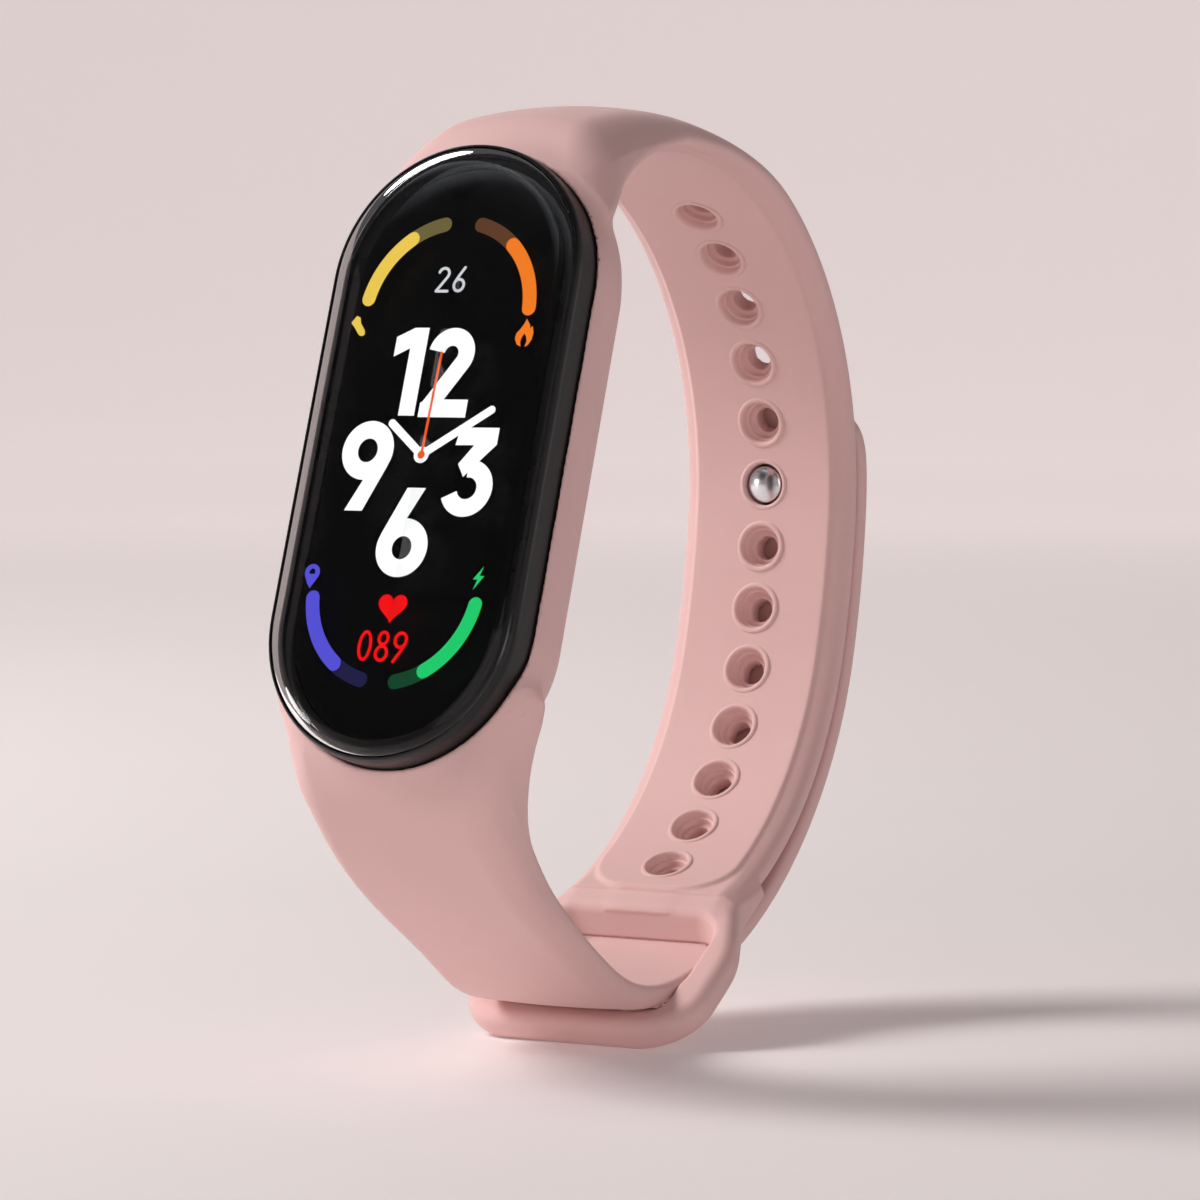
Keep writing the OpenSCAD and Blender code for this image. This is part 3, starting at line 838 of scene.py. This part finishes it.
GLASS_R = 10.0
GLASS_T = 0.9
GLASS_FLAT = 8.3                    # the glass curves down outside this radius
GLASS_DROP = 0.62
curve = [(GLASS_FLAT + (GLASS_R - GLASS_FLAT) * math.sin(math.radians(t)),
          GLASS_DROP * (1 - math.cos(math.radians(t))))
         for t in range(0, 91, 9)]
glass = pill_sweep("glass_cover",
                   [(0.0, 0.0), (4.0, 0.0)] + curve
                   + [(GLASS_R, 0.8), (GLASS_R - 0.1, GLASS_T), (4.0, GLASS_T), (0.0, GLASS_T)],
                   "capsule", GLASS)
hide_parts("glass_lens")

CASE = rounded([(GLASS_R + 0.05, 0.95), (GLASS_R + 0.05, 0.42, 0.05), (GLASS_R + 0.2, 0.46, 0.1),
                (CASE_R, 0.9, 0.4), (CASE_R, 5.0, 0.6), (8.45, 8.6, 0.1), (7.75, 8.6),
                (9.35, 4.8), (9.35, 1.25), (8.8, 1.25), (8.8, 0.95)], 0.05)
case = pill_sweep("case_shell", CASE, "capsule", BLACK_CASE)
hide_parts("front_case")


# ---------- dial ----------

DIAL_X = -0.83          # the dial's middle line
DIAL_Y = 0.17
NUMERAL_X = 0.35
DIAL_TOP = 0.915        # depth of the lit layer's face, between the glass and the touch film
DIAL_BACK = 0.94

WHITE = lit("dial_white", (1.0, 1.0, 1.0), 1.1)
THIN_WHITE = lit("dial_soft_white", (0.85, 0.87, 0.9), 0.8)
YELLOW = lit("dial_yellow", (0.94, 0.66, 0.09), 0.95)
OLIVE = lit("dial_olive", (0.17, 0.14, 0.045), 0.9)
ORANGE = lit("dial_orange", (1.0, 0.22, 0.012), 0.95)
BROWN = lit("dial_brown", (0.13, 0.048, 0.018), 0.9)
PURPLE = lit("dial_purple", (0.095, 0.085, 0.74), 0.95)
NAVY = lit("dial_navy", (0.011, 0.01, 0.06), 0.9)
GREEN = lit("dial_green", (0.01, 0.66, 0.16), 0.95)
FOREST = lit("dial_forest", (0.002, 0.065, 0.022), 0.9)
RED = lit("dial_red", (1.0, 0.0, 0.002), 0.95)
HAND_ORANGE = lit("dial_hand_orange", (1.0, 0.115, 0.01), 0.95)


def dial_plate(outlines, depth=DIAL_TOP):
    """(points, faces) of thin plates; an outline is a loop, or a pair of loops with a hole."""
    points, faces = [], []
    for outline in outlines:
        base = len(points)
        loops = outline if isinstance(outline, tuple) else (outline,)
        size = len(loops[0])
        for loop in loops:
            for back in (depth, DIAL_BACK):
                points += [worn(x + DIAL_X, y + DIAL_Y, back) for x, y in loop]
        rows = [base + size * k for k in range(2 * len(loops))]
        ring = [(i, (i + 1) % size) for i in range(size)]
        for k in range(0, len(rows), 2):
            flip = k == 2
            for i, j in ring:
                quad = (rows[k] + i, rows[k + 1] + i, rows[k + 1] + j, rows[k] + j)
                faces.append(quad[::-1] if flip else quad)
        if len(loops) == 1:
            faces.append([rows[0] + i for i in range(size)])
            faces.append([rows[1] + i for i in reversed(range(size))])
        else:
            for i, j in ring:
                faces.append((rows[0] + i, rows[0] + j, rows[2] + j, rows[2] + i))
                faces.append((rows[1] + j, rows[1] + i, rows[3] + i, rows[3] + j))
    return points, faces


def show(name, outlines, material, depth=DIAL_TOP):
    """One dial piece from its outlines."""
    points, faces = dial_plate(outlines, depth)
    obj = new_object(name, points, faces, "capsule", material)
    obj.data.polygons.foreach_set("use_smooth", [False] * len(obj.data.polygons))
    return obj


def arc(cx, cy, rx, first, last, steps=24, ry=None):
    """Points of an arc or ellipse arc, in degrees."""
    out = []
    for i in range(steps + 1):
        a = math.radians(first + (last - first) * i / steps)
        out.append((cx + rx * math.cos(a), cy + (ry or rx) * math.sin(a)))
    return out


def stroke(path, width, round_caps=True):
    """Outline of a stroke along a path."""
    left, right = [], []
    half = width / 2
    for i, p in enumerate(path):
        before = path[max(i - 1, 0)]
        after = path[min(i + 1, len(path) - 1)]
        dx, dy = after[0] - before[0], after[1] - before[1]
        size = math.hypot(dx, dy)
        nx, ny = -dy / size * half, dx / size * half
        left.append((p[0] + nx, p[1] + ny))
        right.append((p[0] - nx, p[1] - ny))
    if not round_caps:
        return left + right[::-1]

    def round_cap(tip, start):
        a = math.degrees(math.atan2(start[1] - tip[1], start[0] - tip[0]))
        return arc(tip[0], tip[1], half, a, a - 180, 12)[1:-1]

    return left + round_cap(path[-1], left[-1]) + right[::-1] + round_cap(path[0], right[0])


def loop_band(cx, cy, rx, ry, width):
    """Closed oval band."""
    outer = arc(cx, cy, rx, 0, 360, 48, ry)[:-1]
    inner = arc(cx, cy, rx - width, 0, 360, 48, ry - width)[:-1]
    return (outer, inner)


def shifted(outline, dx, dy=0.0, size=1.0):
    """Outline, or pair of loops, scaled and moved."""
    if isinstance(outline, tuple):
        return tuple(shifted(loop, dx, dy, size) for loop in outline)
    return [(x * size + dx, y * size + dy) for x, y in outline]


# big numerals
ONE = [(-2.85, 2.6), (-1.5, 2.6), (-1.5, 9.3), (-2.7, 9.3), (-4.15, 8.6), (-4.15, 7.1), (-2.85, 7.75)]
two_top = arc(0.75, 7.35, 1.27, 172, -38)
TWO = [stroke(two_top + [(-0.2, 3.6), (-0.55, 3.1)], 1.36, False),
       [(-1.15, 2.5), (2.85, 2.5), (2.85, 3.85), (-0.3, 3.85), (-1.15, 3.6)]]
THREE = [[(2.7, 1.75), (5.95, 1.75), (5.95, 0.45), (2.5, 0.42)],
         [(4.1, 0.45), (5.95, 0.5), (4.65, -0.85), (3.6, -1.95), (3.0, -1.0)],
         stroke(arc(4.08, -2.8, 1.48, 96, -160), 1.32, False)]
SIX = [loop_band(-0.48, -7.35, 2.15, 2.2, 1.33),
       [(0.65, -2.85), (-0.88, -2.85), (-2.42, -6.35), (-1.4, -5.6), (-0.55, -5.25)]]
NINE = [loop_band(-4.87, -0.08, 2.18, 2.24, 1.34),
        [(-5.97, -4.65), (-4.45, -4.65), (-2.93, -1.15), (-3.95, -1.9), (-4.75, -2.2)]]
show("dial_numerals", [shifted(o, NUMERAL_X) for o in [ONE] + TWO + THREE + SIX + NINE], WHITE)

# date and pulse, thin numerals
LINE = 0.21


def thin_zero(x, y):
    return [loop_band(x, y, 0.5, 0.97, LINE)]


def thin_eight(x, y):
    return [loop_band(x, y + 0.5, 0.42, 0.48, LINE), loop_band(x, y - 0.44, 0.5, 0.54, LINE)]


def thin_six(x, y):
    return [loop_band(x, y - 0.42, 0.52, 0.55, LINE),
            stroke([(x + 0.3, y + 0.93), (x - 0.1, y + 0.3), (x - 0.37, y - 0.2)], LINE)]


def thin_nine(x, y):
    return [loop_band(x, y + 0.42, 0.5, 0.55, LINE),
            stroke([(x - 0.3, y - 0.93), (x + 0.1, y - 0.3), (x + 0.36, y + 0.2)], LINE)]


def thin_two(x, y):
    top = arc(x, y + 0.46, 0.42, 165, -35, 16)
    return [stroke(top + [(x - 0.45, y - 0.87)], LINE),
            stroke([(x - 0.45, y - 0.88), (x + 0.5, y - 0.88)], LINE)]


show("dial_date", thin_two(-0.75, 13.0) + thin_six(0.65, 13.0), THIN_WHITE)
PULSE = thin_zero(-1.25, 0) + thin_eight(0, 0) + thin_nine(1.25, 0)
show("dial_pulse", [shifted(o, -0.25, -14.7, 1.18) for o in PULSE], RED)

# progress arcs: bright part over a dim remainder
ARC_R = 6.95
ARC_W = 1.12
TOP_Y = 10.45
LOW_Y = -10.45
for name, y, bright, dim, colour, shade in (
        ("yellow", TOP_Y, (171, 125), (125, 102), YELLOW, OLIVE),
        ("orange", TOP_Y, (3, 48), (48, 76), ORANGE, BROWN),
        ("purple", LOW_Y, (187, 234.5), (234.5, 257), PURPLE, NAVY),
        ("green", LOW_Y, (-8, -59), (-59, -79), GREEN, FOREST)):
    show("dial_arc_" + name, [stroke(arc(0, y, ARC_R, *bright), ARC_W)], colour, DIAL_TOP - 0.008)
    show("dial_rest_" + name, [stroke(arc(0, y, ARC_R, *dim), ARC_W)], shade)


def heart(size):
    out = []
    for i in range(64):
        t = 2 * math.pi * i / 64
        out.append((size * math.sin(t) ** 3,
                    size * (13 * math.cos(t) - 5 * math.cos(2 * t) - 2 * math.cos(3 * t)
                            - math.cos(4 * t)) / 16))
    return out[::-1]


show("dial_heart", [shifted(heart(1.2), 0.0, -11.75)], RED)

# hands and hub
HUB = (0.1, -0.35)
show("dial_hand_hour", [stroke([HUB, (-2.85, 2.0)], 0.62)], WHITE, DIAL_TOP - 0.004)
show("dial_hand_minute", [stroke([HUB, (5.35, 3.1)], 0.62)], WHITE, DIAL_TOP - 0.005)
show("dial_hub", [arc(HUB[0], HUB[1], 0.62, 360, 0, 32)[:-1]], WHITE, DIAL_TOP - 0.006)
show("dial_hand_second", [stroke([HUB, (0.25, 7.4)], 0.2),
                          arc(HUB[0], HUB[1], 0.3, 360, 0, 24)[:-1]], HAND_ORANGE, DIAL_TOP - 0.01)

# icons
FLAME = [(0.0, 1.2), (0.35, 0.75), (0.42, 0.45), (0.62, 0.62), (0.78, 0.1), (0.72, -0.45), (0.45, -0.9),
         (0.2, -1.0), (0.32, -0.6), (0.22, -0.25), (0.0, 0.05), (-0.2, -0.3), (-0.25, -0.65),
         (-0.15, -1.0), (-0.5, -0.85), (-0.75, -0.4), (-0.7, 0.05), (-0.4, 0.4), (-0.15, 0.8)]
show("dial_icon_flame", [shifted(FLAME, 6.95, 8.85, 0.95)], ORANGE)
BOLT = [(0.35, 1.0), (-0.5, -0.12), (-0.05, -0.12), (-0.32, -1.0), (0.55, 0.2), (0.1, 0.2)]
show("dial_icon_bolt", [shifted(BOLT, 6.75, -9.45, 0.85)], GREEN)
SHOE = [(-0.75, 0.15), (-0.3, 0.75), (0.05, 0.6), (0.2, 0.1), (0.7, -0.5), (0.75, -0.85), (0.5, -1.0),
        (0.2, -0.9), (-0.3, -0.3)]
show("dial_icon_shoe", [shifted(SHOE, -7.35, 9.55, 0.9)], YELLOW)
pin_outer = arc(0, 0.25, 0.75, 215, -35, 24) + [(0.0, -1.15), (-0.3, -0.78)]
pin_turns = [math.radians(215 - 250 * i / 26) for i in range(len(pin_outer))]
pin_inner = [(0.3 * math.cos(t), 0.3 + 0.3 * math.sin(t)) for t in pin_turns]
show("dial_icon_pin", [shifted((pin_outer, pin_inner), -7.35, -9.6, 0.85)], PURPLE)


# ---------- stage, lights and camera ----------

visual_low, visual_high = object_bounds()
FLOOR_Z = visual_low.z


def pale_floor():
    """Matt pale floor that glows evenly where it rises into the backdrop behind the band."""
    nodes = Nodes("pale_floor", (0.76, 0.71, 0.705), 0.6)
    nodes.tint(nodes.noise(40.0), 0.01)
    nodes.bump(nodes.noise(2.0), 0.1, 0.02)
    turned_place = nodes.add("ShaderNodeMapping", Rotation=(0, 0, math.radians(-30)))
    nodes.link(nodes.place, turned_place.inputs["Vector"])
    axes = nodes.tree.nodes.new("ShaderNodeSeparateXYZ")
    nodes.link(turned_place.outputs["Vector"], axes.inputs["Vector"])
    behind = nodes.ramp(axes.outputs["Y"], 0.1, 0.9, 0.0, 0.36)
    side = nodes.tree.nodes.new("ShaderNodeMath")
    side.operation = "ABSOLUTE"
    nodes.link(axes.outputs["X"], side.inputs[0])
    wide = nodes.ramp(side.outputs["Value"], 0.3, 0.9, 1.0, 0.0)
    both = nodes.tree.nodes.new("ShaderNodeMath")
    both.operation = "MULTIPLY_ADD"
    nodes.link(behind, both.inputs[0])
    nodes.link(wide, both.inputs[1])
    both.inputs[2].default_value = 0.14
    nodes.shader.inputs["Emission Color"].default_value = (1.0, 0.88, 0.87, 1)
    nodes.link(both.outputs["Value"], nodes.shader.inputs["Emission Strength"])
    return nodes.material


def dark_card():
    """Black studio card with a soft grey top corner, seen only as a reflection in the glass."""
    nodes = Nodes("dark_card", (0.01, 0.01, 0.011), 0.8)
    axes = nodes.tree.nodes.new("ShaderNodeSeparateXYZ")
    nodes.link(nodes.place, axes.inputs["Vector"])
    nodes.bump(nodes.noise(2.0), 0.1, 0.02)
    glow = nodes.ramp(axes.outputs["Z"], 0.43, 0.36, 1.0, 0.0)
    nodes.shader.inputs["Emission Color"].default_value = (0.9, 0.93, 1.0, 1)
    nodes.link(glow, nodes.shader.inputs["Emission Strength"])
    return nodes.material


def sweep_floor():
    """Pale floor that curves up into a wall all around, far outside the view."""
    flat, bend, wall, turns, around = 1.4, 0.6, 1.2, 8, 96
    profile = [(0.00001, 0.0), (0.3, 0.0), (0.8, 0.0), (flat, 0.0)]
    for i in range(1, turns + 1):
        a = math.radians(90 * i / turns)
        profile.append((flat + bend * math.sin(a), bend * (1 - math.cos(a))))
    profile.append((flat + bend, wall))
    points, faces = [], []
    for r, h in profile:
        for i in range(around):
            t = 2 * math.pi * i / around
            points.append((r * math.cos(t) / MM, r * math.sin(t) / MM, (FLOOR_Z + h) / MM))
    for j in range(len(profile) - 1):
        for i in range(around):
            n = (i + 1) % around
            faces.append((j * around + i, j * around + n, (j + 1) * around + n, (j + 1) * around + i))
    return new_object("floor", points, faces, None, pale_floor())


def studio_card():
    """Thin card that stands where the glass mirrors it, farther away than the camera."""
    away, half_wide, half_high, thick = 0.6, 0.14, 0.17, 0.004
    middle = Vector((0.0, -0.021, 0.0065)) + away * Vector(MIRRORED).normalized()
    turn = Vector(MIRRORED).to_track_quat("Z", "Y").to_matrix()
    points = []
    for z in (0.0, thick):
        for x, y in ((-1, -1), (1, -1), (1, 1), (-1, 1)):
            points.append(tuple((middle + turn @ Vector((x * half_wide, y * half_high, z))) / MM))
    faces = [(3, 2, 1, 0), (4, 5, 6, 7), (0, 1, 5, 4), (1, 2, 6, 5), (2, 3, 7, 6), (3, 0, 4, 7)]
    return new_object("card", points, faces, None, dark_card(), sharp=30)


MIRRORED = (-0.50, -0.71, 0.49)     # where the glass looks, as seen from the camera
sweep_floor()
studio_card()


def area_light(name, position, size, power, color=(1, 1, 1)):
    """Soft light aimed at the middle of the band."""
    data = bpy.data.lights.new(name, "AREA")
    data.shape = "DISK"
    data.size = size
    data.energy = power
    data.color = color
    obj = bpy.data.objects.new(name, data)
    bpy.context.scene.collection.objects.link(obj)
    obj.location = position
    obj.rotation_mode = "QUATERNION"
    obj.rotation_quaternion = Vector(position).to_track_quat("Z", "Y")
    return obj


WARM = (1.0, 0.98, 0.97)
key = area_light("key_light", (-0.50, -0.17, 0.38), 0.28, 3.6, WARM)
key.visible_glossy = False          # like a polarised light, which the glass doesn't mirror
key.visible_transmission = False
area_light("high_light", (-0.42, -0.06, 0.48), 0.24, 0.7, WARM)
area_light("front_light", (0.0, -0.60, 0.16), 0.36, 0.2, WARM)
area_light("low_light", (-0.50, -0.38, 0.06), 0.12, 0.25, WARM)
area_light("bevel_light", (0.50, -0.35, 0.12), 0.25, 0.5)
area_light("side_light", (0.46, 0.38, 0.06), 0.22, 0.1)

world = bpy.data.worlds.new("studio")
bpy.context.scene.world = world
world.use_nodes = True
world.node_tree.nodes["Background"].inputs["Color"].default_value = (0.95, 0.94, 0.95, 1)
world.node_tree.nodes["Background"].inputs["Strength"].default_value = 0.07

CAMERA_PLACE = (195.53, -334.49, 17.13)
CAMERA_DOWN = 3.364
CAMERA_TURN = 29.943
camera_data = bpy.data.cameras.new("camera")
camera_data.lens = 154.63
camera_data.sensor_width = 36
camera_data.clip_start = 0.01
camera_data.clip_end = 20
camera = bpy.data.objects.new("camera", camera_data)
bpy.context.scene.collection.objects.link(camera)
camera.location = [c * MM for c in CAMERA_PLACE]
camera.rotation_mode = "XYZ"
camera.rotation_euler = (math.radians(90 - CAMERA_DOWN), 0, math.radians(CAMERA_TURN))
bpy.context.scene.camera = camera
bpy.context.scene.view_settings.view_transform = "Standard"
